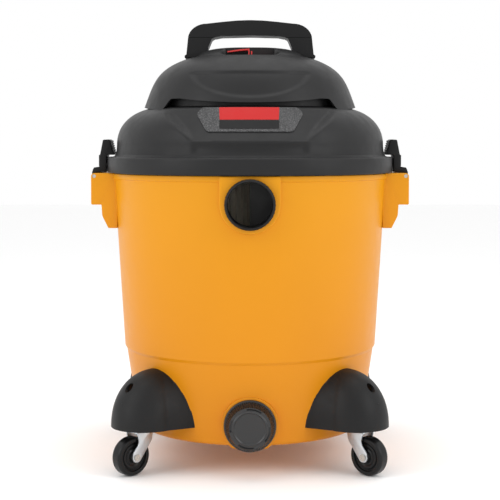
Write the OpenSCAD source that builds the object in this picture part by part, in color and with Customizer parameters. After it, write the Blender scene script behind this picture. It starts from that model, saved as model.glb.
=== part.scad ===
/* [Tank] */
// Radius of the tank wall at its top edge
tank_top_r = 190; // [180:1:200]
// Height of the top edge of the tank above the floor
tank_top_z = 392; // [385:1:400]
// Radius of the tank wall just above the moulded step
step_r = 176.3; // [172:0.1:180]
// Height of the moulded step round the tank
step_z = 152.5; // [140:0.5:155]
// Radius of the tank wall at its bottom edge
tank_foot_r = 158; // [154:1:160]
// Height of the underside of the tank above the floor
tank_foot_z = 40; // [38:1:42]
// Thickness of the tank wall
tank_wall = 3.5; // [2.5:0.5:4]

/* [Ports] */
// Bore radius of the hose inlet and of the exhaust port
port_r = 28.6; // [25:0.1:29]
// Height of the hose inlet's centre
inlet_z = 356; // [350:1:360]
// Height of the exhaust port's centre
exhaust_z = 447.3; // [446.5:0.1:448]
// How far both ports reach from the centre of the tank
port_reach = 205; // [202:1:208]

/* [Drain] */
// Height of the drain's centre
drain_z = 70; // [69:1:72]
// Radius of the cap's rear rim
drain_rim_r = 34; // [32:0.5:34.5]
// Radius of the cap's ribbed grip
drain_grip_r = 31; // [30:0.5:31.5]
// Distance that the cap travels for one turn
thread_pitch = 4; // [3:0.5:4]

/* [Head] */
// Radius of the lid's rim
rim_r = 199; // [197:1:200]
// Radius of the motor well in the lid
well_r = 84; // [82:1:86]
// Radius of the top cover at its lower edge
cover_r = 147; // [145:1:148]
// Height of the cover's flat top
cover_top_z = 552; // [551:1:553]
// Thickness of the moulded shells
shell = 3; // [2.5:0.5:3.5]

/* [Handle] */
// Height of the top of the handle
handle_top_z = 604; // [600:1:606]
// Depth of the handle from front to back
handle_depth = 40; // [36:1:42]

/* [Latches] */
// Width of a latch along the rim
latch_w = 40; // [36:1:42]
// Distance of a latch's pin from the centre
latch_pin_x = 215.5; // [215:0.5:216]
// Height of a latch's pin
latch_pin_z = 388; // [387:0.5:388]

/* [Casters] */
// Radius of a caster wheel
wheel_r = 25.4; // [24:0.1:25.4]
// Width of a caster wheel's tread
wheel_w = 17; // [15:0.5:18]
// Distance from the tank's centre to each swivel
swivel_u = 197; // [190:0.1:199]
// Distance from the swivel to the axle
trail = 16; // [12:0.5:17]
// Height of the underside of the feet
foot_z = 62; // [61:1:64]

/* [Filter] */
// Outer radius of the pleated filter
filter_r = 84; // [80:1:88]
// Radius of the float ball
ball_r = 34; // [33:0.5:34.5]

/* [Hidden] */
$fn = 96;

yellow = [0.93, 0.62, 0.10];
charcoal = [0.23, 0.23, 0.24];
black = [0.13, 0.13, 0.14];
red = [0.85, 0.12, 0.10];
zinc = [0.74, 0.74, 0.72];
steel = [0.60, 0.61, 0.63];
copper = [0.72, 0.42, 0.22];
paper = [0.93, 0.91, 0.84];
granite = [0.36, 0.35, 0.36];

eps = 0.01;
turn = 360;

// Angle of each corner, where a foot and a caster stand
front_left = 223;
front_right = 317;
rear_left = 137;
rear_right = 43;
corners = [front_left, front_right, rear_left, rear_right];
quarters = [45, 135, 225, 315];

// Tank wall: outer points from the bottom up
bottom_round = 8;
step_drop = 4;
tank_outer = concat(
    [[0, tank_foot_z]],
    [for (a = [0:15:90]) [tank_foot_r - bottom_round + bottom_round * sin(a),
                          tank_foot_z + bottom_round - bottom_round * cos(a)]],
    [[step_r - 3, step_z - step_drop], [step_r, step_z], [tank_top_r, tank_top_z],
     [0, tank_top_z]]);
lip_r = tank_top_r + 2;
lip_h = 8;

// Hose ports
barrel_r = port_r + 2.3;
bezel_r = port_r + 3.6;
boss_y = 192.3;
boss_half_w = 38.8;
barrel_len = 44 - (port_reach - boss_y);

// Drain
drain_face_y = 168;
drain_boss_r = 37;
spigot_r = 24;
spigot_bore_r = 19;
spigot_len = 12;
gasket_t = 2;
cap_front_y = 186;

// Ears that carry the latches
ear_x = 219.8;
ear_half_w = 36;
ear_low_z = 316;
ear_hook_z = 348.5;
slot_half_w = 12.6;
latch_pin_r = 2.5;

// Feet
pod_half_w = 56;
pod_nose_u = 188.7;
pod_nose_r = 45;
pod_h = 73;
pod_back_u = 165;
pod_len = 72;
pod_t = 3;
foot_screw_z = 115;
foot_screw_r = 2.5;
stem_r = 5.5;

// Casters
fork_top_z = foot_z - 4.3;
fork_t = 2.2;
fork_half_w = 13;
axle_r = 3;
hub_half_w = 10.6;
axle_u = swivel_u + trail;

// Head
rim_low_z = 393;
rim_top_z = 415;
floor_z = 405;
deck_z = 482;
eye_r = 31;
notch_half_w = latch_w / 2 + 2;
notch_r = 188.8;
panel_foot_r = 187.2;
panel_foot_z = 434;
panel_slope = 0.83;
panel_half_angle = 38;
dome = [[187.5, 418], [186, 436], [183.5, 446], [178.5, 455], [170, 465], [155, 475],
        [146, 480], [140, deck_z]];
dome_in = [[128, deck_z - shell], [143.5, 477.2], [153.4, 472.2], [167.8, 462.6], [175.9, 453], [180.6, 444.9],
           [183, 435.6], [184.5, 418]];
cover_out = [[cover_r, 483], [139.5, 503], [130.5, 521], [120.5, 534.5], [109.5, 544],
             [98.8, 549], [88, cover_top_z]];
cover_in = [[cover_r - 3.2, 483], [136.5, 502], [127.8, 519.4], [118.2, 532.4], [107.8, 541.4],
            [97.8, 546.1], [87.6, cover_top_z - shell]];
cover_screw_r = 115;
handle_screw_x = 74;
handle_screw_y = 10;
gland_x = 60;
gland_z = 500;
gland_y = 134;

// Motor, from the bottom up
seal_z = floor_z + shell;
fan_z = seal_z + 3;
fan_h = 29;
fan_r = 80;
bracket_z = fan_z + fan_h;
stator_z = bracket_z + 16;
stator_h = 36;
comm_z = stator_z + stator_h + 8;
end_z = comm_z + 13;
shaft_r = 4;
bolt_u = 72;

// Filter and cage
cage_r = 50;
cage_low_z = 270;
seat_r = 26;
filter_low_z = 262;
filter_high_z = 400;
ball_rest_z = cage_low_z + 4 + ball_r + 0.3;

module corner(angle) {
    rotate([0, 0, angle]) children();
}

module along_y(x, y, z) {
    translate([x, y, z]) rotate([-90, 0, 0]) children();
}

module tube(r_out, r_in, h) {
    difference() {
        cylinder(r = r_out, h = h);
        translate([0, 0, -1]) cylinder(r = r_in, h = h + 2);
    }
}

module tank_solid(grow = 0) {
    rotate_extrude() polygon([for (p = tank_outer) [p[0] > 0 ? p[0] + grow : 0, p[1]]]);
}

module tank_cavity() {
    rotate_extrude() polygon([
        [0, tank_foot_z + tank_wall], [tank_foot_r - bottom_round, tank_foot_z + tank_wall],
        [tank_foot_r - tank_wall, tank_foot_z + bottom_round + 1],
        [step_r - 3 - tank_wall, step_z - step_drop], [step_r - tank_wall, step_z],
        [tank_top_r - tank_wall - 1, tank_top_z - lip_h - 6],
        [tank_top_r - tank_wall - 2.5, tank_top_z + 1], [0, tank_top_z + 1]]);
}

// Tank and what is fixed to it

module ear_outline() {
    polygon(concat(
        [[150, ear_low_z], [195.5, ear_low_z]],
        [for (a = [15:15:75]) [195.5 + 10 * (1 - cos(a)), ear_low_z + 32.5 * sin(a)]],
        [[205.5, ear_hook_z], [ear_x, ear_hook_z]],
        [for (a = [0:15:90]) [latch_pin_x + (ear_x - latch_pin_x) * cos(a),
                              tank_top_z - 4.3 + 4.3 * sin(a)]],
        [[150, tank_top_z]]));
}

module ear() {
    difference() {
        translate([0, ear_half_w, 0]) rotate([90, 0, 0])
            linear_extrude(2 * ear_half_w) ear_outline();
        translate([205, -slot_half_w, latch_pin_z - 10])
            cube([30, 2 * slot_half_w, 30]);
        for (s = [-1, 1]) translate([196, s * 24 - 8.5, ear_low_z - 1])
            cube([20.5, 17, 58]);
        along_y(latch_pin_x, -ear_half_w - 1, latch_pin_z)
            cylinder(r = latch_pin_r + 0.05, h = 2 * ear_half_w + 2);
    }
}

module tank_body() {
    color(yellow) difference() {
        union() {
            tank_solid();
            translate([0, 0, tank_top_z - lip_h]) cylinder(r = lip_r, h = lip_h);
            ear();
            mirror([1, 0, 0]) ear();
            intersection() {
                along_y(0, -boss_y, inlet_z + 1.2) cylinder(r = boss_half_w, h = 40);
                translate([-50, -200, 300]) cube([100, 100, tank_top_z - 300.5]);
            }
            translate([-boss_half_w, -boss_y, inlet_z + 1.2])
                cube([2 * boss_half_w, 40, tank_top_z - inlet_z - 1.2]);
            intersection() {
                along_y(0, -drain_face_y, drain_z) cylinder(r = drain_boss_r, h = 30);
                translate([-50, -200, tank_foot_z]) cube([100, 100, 100]);
            }
            along_y(0, -drain_face_y - spigot_len, drain_z) cylinder(r = spigot_r, h = 20);
        }
        difference() {
            tank_cavity();
            for (a = corners) corner(a) translate([155, 0, foot_screw_z])
                rotate([0, 90, 0]) cylinder(r = 7, h = 20);
        }
        along_y(0, -boss_y - 1, inlet_z) cylinder(r = barrel_r + 0.1, h = 40);
        along_y(0, -drain_face_y - spigot_len - 1, drain_z)
            cylinder(r = spigot_bore_r, h = 60);
        for (a = corners) corner(a) translate([158, 0, foot_screw_z])
            rotate([0, 90, 0]) cylinder(r = foot_screw_r + 0.05, h = 30);
    }
}

// A ring with its bezel at z = 0 and its barrel running up
module port_ring() {
    bezel_len = port_reach - boss_y;
    difference() {
        union() {
            translate([0, 0, 2]) cylinder(r = bezel_r, h = bezel_len - 2);
            cylinder(r1 = bezel_r - 1.5, r2 = bezel_r, h = 2);
            cylinder(r = barrel_r, h = bezel_len + barrel_len);
        }
        translate([0, 0, -1]) cylinder(r = port_r, h = bezel_len + barrel_len + 2);
    }
}

module inlet_ring() {
    color(black) along_y(0, -port_reach, inlet_z) port_ring();
}

module inlet_deflector() {
    hood_r = barrel_r + 4;
    start_y = 180.4;
    hood_len = 44;
    color(black) difference() {
        along_y(0, -start_y, inlet_z) cylinder(r = hood_r, h = hood_len);
        along_y(0, -start_y - 1, inlet_z) cylinder(r = barrel_r + 0.1, h = hood_len - 2);
        translate([-hood_r - 1, -start_y + 20, inlet_z - hood_r - 1])
            cube([hood_r + 1, 30, 2 * hood_r + 2]);
    }
}

module drain_gasket() {
    color(black) along_y(0, -drain_face_y - gasket_t - 0.05, drain_z)
        tube(30.8, spigot_r + 0.3, gasket_t);
}

module drain_cap() {
    rim_y = drain_face_y + 0.5;
    seat_y = drain_face_y + gasket_t + 0.1;
    slots = [[55, 45], [155, 35], [235, 45], [320, 45]];
    color(black) along_y(0, -cap_front_y, drain_z) difference() {
        union() {
            cylinder(r = drain_grip_r, h = cap_front_y - rim_y);
            translate([0, 0, cap_front_y - rim_y - 4]) cylinder(r = drain_rim_r, h = 4);
            translate([0, 0, -2]) cylinder(r = 22.5, h = 4);
        }
        translate([0, 0, 4]) cylinder(r = spigot_r + 0.3, h = 30);
        translate([0, 0, cap_front_y - seat_y]) cylinder(r = 31.2, h = 10);
        for (s = slots) translate([0, 0, -1])
            rotate_extrude(angle = s[1], start = s[0]) translate([25.5, 0]) square([1.8, 3]);
    }
}

// Feet and casters: u runs outwards from the tank's centre, z up

function bulge(t, n) = pow(max(0, 1 - pow(t, n)), 1 / n);

module pod_solid(inset) {
    half = pod_half_w - inset;
    high = pod_h - inset;
    len = pod_len - inset;
    steps = 14;
    low = foot_z - (inset > 0 ? 1 : 0);
    intersection() {
        translate([140, 0, 0]) rotate([90, 0, 90]) linear_extrude(110)
            polygon(concat([[-half, low], [half, low]],
                [for (i = [0:steps * 2]) let (a = 180 * i / steps / 2)
                    [half * cos(a) * pow(abs(cos(a)) + eps, -0.2),
                     foot_z + high * pow(sin(a), 0.8)]]));
        translate([0, 60, 0]) rotate([90, 0, 0]) linear_extrude(120)
            polygon(concat([[140, low]],
                [[pod_back_u + len, low]],
                [for (i = [0:steps]) let (a = 90 * i / steps)
                    [pod_back_u + len * pow(cos(a), 0.9), foot_z + high * pow(sin(a), 0.9)]],
                [[140, foot_z + high]]));
        translate([0, 0, low]) linear_extrude(90) union() {
            translate([pod_nose_u, 0]) circle(r = pod_nose_r - inset);
            polygon([[140, -half], [pod_nose_u - 12, -pod_nose_r + 1.5 + inset],
                     [pod_nose_u, -pod_nose_r + inset], [pod_nose_u, pod_nose_r - inset],
                     [pod_nose_u - 12, pod_nose_r - 1.5 - inset], [140, half]]);
        }
    }
}

module foot(angle) {
    color(black) corner(angle) difference() {
        pod_solid(0);
        tank_solid(0.1);
        difference() {
            pod_solid(pod_t);
            tank_solid(pod_t + 0.1);
            translate([swivel_u, 0, foot_z]) cylinder(r = 11, h = 80);
            translate([150, -1.5, foot_z]) cube([90, 3, 36]);
            translate([150, 0, foot_screw_z]) rotate([0, 90, 0]) cylinder(r = 8.5, h = 80);
        }
        translate([swivel_u, 0, foot_z - 1]) cylinder(r = stem_r + 0.05, h = 31);
        translate([160, 0, foot_screw_z]) rotate([0, 90, 0])
            cylinder(r = foot_screw_r + 0.1, h = 40);
        translate([176, 0, foot_screw_z]) rotate([0, 90, 0]) cylinder(r = 5.5, h = 60);
    }
}

module foot_screws() {
    color(steel) for (a = corners) corner(a) translate([0, 0, foot_screw_z])
        rotate([0, 90, 0]) {
            translate([0, 0, 160]) cylinder(r = foot_screw_r, h = 16);
            translate([0, 0, 176]) cylinder(r = 5, h = 3.5);
        }
}

module caster_stems() {
    color(zinc) for (a = corners) corner(a) translate([swivel_u, 0, 0]) {
        translate([0, 0, foot_z]) cylinder(r = stem_r, h = 29);
        translate([0, 0, fork_top_z + 0.1]) cylinder(r = 15.5, h = foot_z - fork_top_z - 0.1);
        translate([0, 0, fork_top_z - 3]) cylinder(r = 6, h = 4);
        translate([0, 0, fork_top_z - 5.4]) cylinder(r = 8.5, h = 2.8);
    }
}

module fork_leg() {
    linear_extrude(fork_t) difference() {
        union() {
            polygon([[swivel_u - 11, fork_top_z], [swivel_u + 14, fork_top_z],
                     [axle_u + 5.9, wheel_r + 1.5], [axle_u - 5.2, wheel_r - 3]]);
            translate([axle_u, wheel_r]) circle(r = 6);
        }
        translate([axle_u, wheel_r]) circle(r = axle_r + 0.05);
    }
}

module fork(angle) {
    color(zinc) corner(angle) difference() {
        union() {
            translate([0, fork_half_w, 0]) rotate([90, 0, 0]) fork_leg();
            translate([0, fork_t - fork_half_w, 0]) rotate([90, 0, 0]) fork_leg();
            intersection() {
                translate([swivel_u, 0, fork_top_z - 2.5]) cylinder(r = 17, h = 2.5);
                translate([swivel_u - 17, -fork_half_w, 0])
                    cube([34, 2 * fork_half_w, 100]);
            }
        }
        translate([swivel_u, 0, fork_top_z - 10]) cylinder(r = 6.05, h = 20);
    }
}

module wheel(angle) {
    color(black) corner(angle) along_y(axle_u, 0, wheel_r) rotate_extrude() polygon([
        [axle_r + 0.05, -hub_half_w], [8, -hub_half_w], [8, -wheel_w / 2 + 2],
        [17, -wheel_w / 2 + 2], [18.5, -wheel_w / 2], [wheel_r - 2.5, -wheel_w / 2],
        [wheel_r, -wheel_w / 2 + 3], [wheel_r, wheel_w / 2 - 3],
        [wheel_r - 2.5, wheel_w / 2], [18.5, wheel_w / 2], [17, wheel_w / 2 - 2],
        [8, wheel_w / 2 - 2], [8, hub_half_w], [axle_r + 0.05, hub_half_w]]);
}

module axle(angle) {
    color(zinc) corner(angle) {
        along_y(axle_u, -fork_half_w - 1, wheel_r) cylinder(r = axle_r, h = 2 * fork_half_w + 2);
        for (s = [-1, 1]) along_y(axle_u, s * (fork_half_w + 1.05) - 1, wheel_r)
            cylinder(r = 4.4, h = 2);
    }
}

// Latches

module latch_outline() {
    polygon(concat(
        [[201, rim_low_z], [latch_pin_x + 3.6, rim_low_z], [219.6, 394], [218, 399.5],
         [212, 400.8], [211.5, 416], [210, 419], [204.5, 438], [195, 438.5]],
        [for (i = [0:4]) each [[194.3 - i * 0.75, 436 - i * 3.2], [195.4 - i * 0.75, 434.6 - i * 3.2]]],
        [[190, 420], [190, 417.2], [200.3, 417.2], [200.3, 399]]));
}

module latch(side) {
    color(black) mirror([side < 0 ? 1 : 0, 0, 0]) difference() {
        union() {
            translate([0, latch_w / 2, 0]) rotate([90, 0, 0]) linear_extrude(latch_w)
                latch_outline();
            along_y(latch_pin_x, -12, latch_pin_z) cylinder(r = 6, h = 24);
            translate([latch_pin_x - 6, -12, latch_pin_z]) cube([12, 24, 7]);
            translate([219.9, -12, 383]) cube([1.4, 24, 11.5]);
        }
        along_y(latch_pin_x, -30, latch_pin_z) cylinder(r = latch_pin_r + 0.1, h = 60);
    }
}

module latch_pins() {
    color(steel) for (s = [-1, 1])
        along_y(s * latch_pin_x, -ear_half_w + 1, latch_pin_z)
            cylinder(r = latch_pin_r, h = 2 * ear_half_w - 2);
}

// Head

module lid_shell() {
    rotate_extrude() polygon(concat(
        [[rim_r - shell, rim_low_z], [rim_r, rim_low_z], [rim_r, rim_top_z - 3.5],
         [rim_r - 3.5, rim_top_z], [188.5, rim_top_z]],
        dome,
        [[well_r, deck_z], [well_r, floor_z + shell], [eye_r, floor_z + shell],
         [eye_r, floor_z], [well_r + shell, floor_z], [well_r + shell, deck_z - shell]],
        dome_in,
        [[184.5, 395], [192.5, 395], [192.5, 398], [187.5, 398],
         [187.5, rim_top_z - shell], [rim_r - shell, rim_top_z - shell]]));
}

// The sloping panel on the lid's front: its radius at height z
function panel_r(z) = panel_foot_r - panel_slope * (z - panel_foot_z);

module front_sector(half_angle) {
    rotate_extrude(angle = 2 * half_angle, start = 270 - half_angle) children();
}

module panel_cut() {
    front_sector(panel_half_angle) polygon([
        [panel_r(430), 430], [panel_r(deck_z), deck_z], [panel_r(deck_z), 490],
        [215, 490], [215, 430]]);
}

// The panel's own wall behind the cut, and the walls at its two sides
module panel_liner() {
    front_sector(panel_half_angle + 1.7) polygon([
        [panel_r(438) + 1, 438], [panel_r(474) + 1, 474], [panel_r(474) - 3.9, 474],
        [panel_r(438) - 3.9, 438]]);
    for (a = [-1, 1]) rotate([0, 0, a * (panel_half_angle + 1)]) front_sector(2)
        polygon([[183.2, 441], [182.05, 445.5], [177.2, 454], [168.9, 463.8], [154.2, 473.6],
                 [152.5, 473], [181.5, 438.5]]);
}

// End walls that close the rim's channel on both sides of a latch notch
module notch_walls() {
    for (s = [-1, 1]) translate([185.5, s * (notch_half_w + 1.5) - 1.5, rim_low_z + 2.5])
        cube([10.7, 3, rim_top_z - rim_low_z - 3.5]);
}

module lid() {
    duct_r = barrel_r + 2.5;
    color(charcoal) difference() {
        union() {
            lid_shell();
            panel_liner();
            notch_walls();
            mirror([1, 0, 0]) notch_walls();
            along_y(0, well_r + 1, exhaust_z) cylinder(r = duct_r, h = boss_y - well_r - 1);
            for (a = [30:120:270]) rotate([0, 0, a])
                translate([bolt_u, 0, floor_z]) cylinder(r = 5, h = fan_z - floor_z);
        }
        panel_cut();
        for (s = [-1, 1]) translate([s > 0 ? notch_r : -notch_r - 30, -notch_half_w, 380])
            cube([30, 2 * notch_half_w, 60]);
        along_y(0, well_r - 10, exhaust_z) cylinder(r = barrel_r + 0.1, h = 150);
        for (a = quarters) corner(a) translate([cover_screw_r, 0, deck_z - 10])
            cylinder(r = 2.3, h = 20);
        for (a = [30:120:270]) rotate([0, 0, a])
            translate([bolt_u, 0, floor_z - 1]) cylinder(r = 2.05, h = 10);
    }
}

module lid_gasket() {
    color(black) translate([0, 0, tank_top_z]) tube(191.5, 185.5, 395 - tank_top_z);
}

module name_plate() {
    plate_t = 1.8;
    low = 446;
    high = 479.3;
    tilt = [0.77, 0.64];
    face = [[panel_r(low - 2), low - 2], [panel_r(high + 1), high + 1]];
    color(granite) intersection() {
        front_sector(panel_half_angle - 3) polygon([
            face[0] + 0.02 * tilt, face[1] + 0.02 * tilt, face[1] + plate_t * tilt,
            face[0] + plate_t * tilt]);
        translate([0, -100, 0]) rotate([90, 0, 0]) linear_extrude(110)
            polygon([[-54, low], [54, low], [58, low + 3], [69, high - 3.3], [67, high],
                     [-67, high], [-69, high - 3.3], [-58, low + 3]]);
    }
}

module top_cover() {
    color(charcoal) difference() {
        union() {
            difference() {
                union() {
                    rotate_extrude() polygon(concat(cover_out, [[0, cover_top_z], [0, 483]]));
                    along_y(gland_x, 100, gland_z) cylinder(r = 14, h = gland_y - 100);
                }
                rotate_extrude() polygon(concat(
                    [[0, 480], [cover_r - 3.2, 480]], cover_in, [[0, cover_top_z - shell]]));
            }
            intersection() {
                for (a = quarters) corner(a) translate([cover_screw_r, 0, deck_z])
                    cylinder(r = 6, h = 60);
                rotate_extrude() polygon(concat([[0, 480], [cover_r, 480]], cover_out,
                                                [[0, cover_top_z]]));
            }
        }
        along_y(gland_x, 90, gland_z) cylinder(r = 8.1, h = 80);
        for (a = quarters) corner(a) translate([cover_screw_r, 0, deck_z - 1])
            cylinder(r = 2.05, h = 22);
        for (x = [-1, 1], y = [-1, 1])
            translate([x * handle_screw_x, y * handle_screw_y, cover_top_z - 10])
                cylinder(r = 2.6, h = 20);
        translate([-16, -47, cover_top_z - 10]) cube([32, 22, 20]);
    }
}

module cover_screws() {
    color(steel) for (a = quarters) corner(a) translate([cover_screw_r, 0, 0]) {
        translate([0, 0, deck_z - shell - 3]) cylinder(r = 4.5, h = 3);
        translate([0, 0, deck_z - shell - 1]) cylinder(r = 2, h = 20);
    }
}

handle_seam_z = 580;
handle_out = [[-90.8, cover_top_z], [-90.8, 555], [-88.2, 556.5], [-86, 579], [-82, 585],
              [-74, 593], [-60.5, handle_top_z - 5.2], [-40, handle_top_z - 2.5],
              [-21.6, handle_top_z - 0.8], [0, handle_top_z]];
handle_gap = [[-58, 500], [-58, 566], [-53, 578], [-47, 581.2], [0, 582.8]];

function mirrored(points) = concat(points,
    [for (i = [len(points) - 2:-1:0]) [-points[i][0], points[i][1]]]);

module handle_block() {
    translate([0, handle_depth / 2, 0]) rotate([90, 0, 0]) linear_extrude(handle_depth)
        difference() {
            polygon(mirrored(handle_out));
            polygon(mirrored(handle_gap));
        }
}

module handle_lower() {
    color(black) difference() {
        union() {
            intersection() {
                handle_block();
                translate([-200, -50, cover_top_z])
                    cube([400, 100, handle_seam_z - cover_top_z]);
            }
            translate([-60, -handle_depth / 2, cover_top_z])
                cube([120, handle_depth, shell]);
        }
        for (x = [-1, 1], y = [-1, 1])
            translate([x * handle_screw_x, y * handle_screw_y, cover_top_z - 1])
                cylinder(r = 2.05, h = 36);
    }
}

module handle_grip() {
    color(black) difference() {
        intersection() {
            handle_block();
            translate([-200, -50, handle_seam_z]) cube([400, 100, 60]);
        }
        for (x = [-1, 1], y = [-1, 1])
            translate([x * handle_screw_x, y * handle_screw_y, handle_seam_z - 1])
                cylinder(r = 2.05, h = 7.2);
        translate([-45, -handle_depth / 2 + 5, 590]) cube([90, handle_depth - 10, 7]);
    }
}

module handle_screws() {
    color(steel) for (x = [-1, 1], y = [-1, 1])
        translate([x * handle_screw_x, y * handle_screw_y, 0]) {
            translate([0, 0, cover_top_z - shell - 2.5]) cylinder(r = 4.5, h = 2.5);
            translate([0, 0, cover_top_z - shell - 1]) cylinder(r = 2, h = 38);
        }
}

// The crown between the handle's legs, with the scoop that the switch lies in
module saddle() {
    crest = 567;
    half_x = 77;
    half_y = 58;
    color(charcoal) difference() {
        saddle_solid(half_x, half_y, crest - cover_top_z, cover_top_z);
        saddle_solid(half_x - 3, half_y - 3, crest - cover_top_z - 3, cover_top_z - eps);
        for (s = [-1, 1]) translate([s > 0 ? 57.7 : -97.7, -handle_depth / 2 - 0.3, 540])
            cube([40, handle_depth + 0.6, 60]);
        translate([-66, -handle_depth / 2 - 0.3, 540]) cube([132, handle_depth + 0.6, 15.3]);
        translate([-34, -46, 540]) cube([68, 20, 60]);
    }
}

module saddle_solid(half_x, half_y, high, base) {
    steps = 10;
    intersection() {
        translate([0, half_y, 0]) rotate([90, 0, 0]) linear_extrude(2 * half_y)
            polygon([for (i = [0:2 * steps]) let (a = 90 * i / steps)
                [half_x * cos(a), base + high * pow(sin(a), 0.7)]]);
        translate([-half_x, 0, 0]) rotate([90, 0, 90]) linear_extrude(2 * half_x)
            polygon([for (i = [0:2 * steps]) let (a = 90 * i / steps)
                [half_y * cos(a), base + high * pow(sin(a), 0.5)]]);
    }
}

module switch_body() {
    color(black) difference() {
        translate([-15.5, -46.5, 534]) cube([31, 21, 18]);
        translate([-13, -44, 545]) cube([26, 16, 20]);
        along_y(0, -48, 550) cylinder(r = 1.55, h = 30);
    }
}

module switch_rocker() {
    color(red) difference() {
        union() {
            translate([0, -29, 0]) rotate([90, 0, 0]) linear_extrude(14)
                polygon([[-31, 557.3], [-31, 559.4], [-14, 561.8], [0, 562.9], [0, 557],
                         [5, 555.2], [31, 553.9], [31, 552.6], [5, 553], [5, 547], [-5, 547],
                         [-5, 554.5]]);
        }
        along_y(0, -48, 550) cylinder(r = 1.6, h = 30);
    }
}

module exhaust_ring() {
    color(black) translate([0, port_reach, exhaust_z]) rotate([90, 0, 0]) port_ring();
}

module cord_gland() {
    color(black) along_y(gland_x, 112, gland_z) difference() {
        union() {
            cylinder(r = 8, h = gland_y - 112);
            translate([0, 0, gland_y - 112]) cylinder(r = 12, h = 4);
            translate([0, 0, gland_y - 112]) cylinder(r1 = 8, r2 = 6, h = 24);
        }
        translate([0, 0, -1]) cylinder(r = 4.2, h = 60);
    }
}

// Motor

module fan_housing() {
    color(steel) difference() {
        union() {
            difference() {
                translate([0, 0, fan_z]) cylinder(r = fan_r, h = fan_h);
                translate([0, 0, fan_z + shell]) cylinder(r = fan_r - 2, h = fan_h);
            }
            for (a = [30:120:270]) rotate([0, 0, a])
                translate([bolt_u, 0, fan_z]) cylinder(r = 5, h = fan_h);
        }
        translate([0, 0, fan_z - 1]) cylinder(r = eye_r, h = 10);
        for (a = [30:120:270]) rotate([0, 0, a])
            translate([bolt_u, 0, fan_z - 1]) cylinder(r = 2.05, h = fan_h + 2);
        translate([-22, 50, fan_z + 8]) cube([44, 40, 16]);
    }
}

module motor_seal() {
    color(black) translate([0, 0, seal_z]) tube(64, 34, fan_z - seal_z);
}

module motor_bracket() {
    color(steel) translate([0, 0, bracket_z]) difference() {
        union() {
            cylinder(r = fan_r, h = 3);
            cylinder(r = 16, h = 12);
            for (a = quarters) corner(a) translate([38, 0, 0]) cylinder(r = 4, h = 16);
        }
        translate([0, 0, 3]) cylinder(r = 11, h = 20);
        translate([0, 0, -1]) cylinder(r = 7, h = 20);
        for (a = [30:120:270]) rotate([0, 0, a]) translate([bolt_u, 0, -1])
            cylinder(r = 2.05, h = 20);
    }
}

module motor_screws() {
    color(steel) for (a = [30:120:270]) rotate([0, 0, a]) translate([bolt_u, 0, 0]) {
        translate([0, 0, floor_z + 0.5]) cylinder(r = 2, h = bracket_z + 3 - floor_z);
        translate([0, 0, bracket_z + 3]) cylinder(r = 4, h = 3);
    }
}

module impeller() {
    blades = 9;
    color(steel) translate([0, 0, fan_z + 6]) difference() {
        union() {
            cylinder(r = 62, h = 1.5);
            translate([0, 0, 14]) tube(62, 30, 1.5);
            cylinder(r = 10, h = 15.5);
            for (a = [0:turn / blades:turn - 1]) rotate([0, 0, a])
                translate([32, -8, 1]) rotate([0, 0, 28]) cube([28, 1.5, 13.5]);
        }
        translate([0, 0, -1]) cylinder(r = shaft_r, h = 20);
    }
}

module motor_shaft() {
    color(steel) translate([0, 0, fan_z + 4])
        cylinder(r = shaft_r, h = end_z + 18 - fan_z);
}

module armature() {
    slots = 12;
    color(steel) translate([0, 0, stator_z]) difference() {
        union() {
            cylinder(r = 23.3, h = stator_h);
            translate([0, 0, -3.5]) cylinder(r = 18, h = stator_h + 7);
        }
        translate([0, 0, -10]) cylinder(r = shaft_r, h = 80);
        for (a = [0:turn / slots:turn - 1]) rotate([0, 0, a])
            translate([19, -1.2, -1]) cube([6, 2.4, stator_h + 2]);
    }
}

module commutator() {
    color(copper) translate([0, 0, comm_z]) tube(12, shaft_r, 11);
}

module cooling_fan() {
    blades = 10;
    color(black) translate([0, 0, end_z + 10]) difference() {
        union() {
            cylinder(r = 34, h = 1.5);
            cylinder(r = 9, h = 7);
            for (a = [0:turn / blades:turn - 1]) rotate([0, 0, a])
                translate([8, -0.8, 1]) cube([26, 1.6, 6]);
        }
        translate([0, 0, -1]) cylinder(r = shaft_r, h = 20);
    }
}

module stator() {
    color(steel) translate([0, 0, stator_z]) intersection() {
        tube(44, 24, stator_h);
        translate([-40, -44, -1]) cube([80, 88, stator_h + 2]);
    }
}

module field_coils() {
    color(copper) for (z = [stator_z - 6, stator_z + stator_h], s = [0, 180])
        translate([0, 0, z]) rotate([0, 0, s - 55])
            rotate_extrude(angle = 110) translate([24.5, 0]) square([9, 6]);
}

module end_bracket() {
    leg_z = stator_z + stator_h;
    color(steel) difference() {
        union() {
            translate([0, 0, end_z]) cylinder(r = 42, h = 2.5);
            translate([0, 0, end_z]) cylinder(r = 12, h = 8);
            for (a = quarters) corner(a) translate([38, 0, leg_z])
                cylinder(r = 4, h = end_z - leg_z + 1);
        }
        translate([0, 0, end_z + 1.5]) cylinder(r = 9, h = 20);
        translate([0, 0, end_z - 1]) cylinder(r = 6, h = 20);
        for (a = [0, 180]) rotate([0, 0, a]) translate([17, -12, end_z - 1])
            cube([16, 24, 10]);
    }
}

module lower_bearing() {
    color(steel) translate([0, 0, bracket_z + 3]) tube(10.95, shaft_r + 0.03, 8);
}

module upper_bearing() {
    color(steel) translate([0, 0, end_z + 1.5]) tube(8.95, shaft_r + 0.03, 6);
}

module brush_holders() {
    color([0.78, 0.62, 0.28]) for (s = [-1, 1]) difference() {
        translate([-6, s > 0 ? 14 : -36, comm_z + 0.9]) cube([12, 22, 12]);
        translate([-3.6, s > 0 ? 10 : -36.5, comm_z + 2.4]) cube([7.2, 26.5, 7.2]);
    }
}

module brushes() {
    color(charcoal) for (s = [-1, 1])
        translate([-3.5, s > 0 ? 12.3 : -34.3, comm_z + 2.5]) cube([7, 22, 7]);
}

// Filter

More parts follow.
